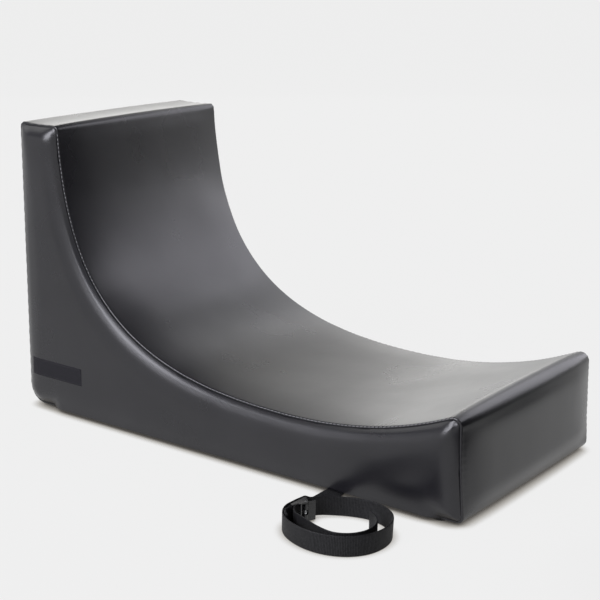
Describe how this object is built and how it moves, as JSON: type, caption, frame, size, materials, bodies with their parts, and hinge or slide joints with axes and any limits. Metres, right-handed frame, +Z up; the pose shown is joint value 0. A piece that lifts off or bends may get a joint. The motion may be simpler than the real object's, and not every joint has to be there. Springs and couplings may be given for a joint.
{
  "type": "pilates arc",
  "caption": "Upholstered pilates arc: a tall upright curves down into a low sloping bed on a plywood frame, with a webbing strap and cam buckle at one side",
  "frame": {"origin": "on the floor, under the middle of the arc's bounding box, the strap left out", "axes": "+X from the tall upright to the low toe, +Y across the arc away from the side with the strap and the tag, +Z up"},
  "size_m": [0.77, 0.5281, 0.4342],
  "materials": {
    "vinyl": "soft satin, fine leather grain",
    "foam": "matt, open cell",
    "plywood": "raw birch",
    "pad_rubber": "matt, ribbed",
    "webbing": "woven, fine cross ribs",
    "buckle_plastic": "polished",
    "steel": "zinc plated"
  },
  "bodies": {
    "arc": {"arc_deck": "plywood", "arc_foam": "foam", "back_board": "plywood", "back_foam": "foam", "base_board": "plywood", "base_pad": "pad_rubber", "buckle_frame": "buckle_plastic", "buckle_pin": "steel", "buckle_spring": "steel", "buckle_tab": "webbing", "center_rib": "plywood", "frame_screw_01": "steel", "frame_screw_02": "steel", "frame_screw_03": "steel", "frame_screw_04": "steel", "frame_screw_05": "steel", "frame_screw_06": "steel", "frame_screw_07": "steel", "frame_screw_08": "steel", "frame_screw_09": "steel", "frame_screw_10": "steel", "frame_screw_11": "steel", "frame_screw_12": "steel", "frame_screw_13": "steel", "frame_screw_14": "steel", "frame_screw_15": "steel", "front_board": "plywood", "front_foam": "foam", "knee_batten": "plywood", "label_tag": "webbing", "left_rib": "plywood", "left_side_cover": "vinyl", "left_side_foam": "foam", "main_cover": "vinyl", "right_rib": "plywood", "right_side_cover": "vinyl", "right_side_foam": "foam", "strap_anchor_plate": "steel", "strap_anchor_screw_01": "steel", "strap_anchor_screw_02": "steel", "strap_webbing": "webbing", "toe_batten": "plywood", "top_board": "plywood", "top_foam": "foam", "upright_batten": "plywood"},
    "lever": {"buckle_lever": "buckle_plastic"}
  },
  "joints": [
    {"name": "buckle_lever_hinge", "type": "hinge", "parent": "arc", "child": "lever", "pos_m": [0.2202, -0.2825, 0.0147], "axis": [0, 0, 1], "range_deg": [0, 30], "stiffness_Nm_per_rad": 0.03, "springref_deg": -28.65, "deforming": ["buckle_spring"]}
  ]
}
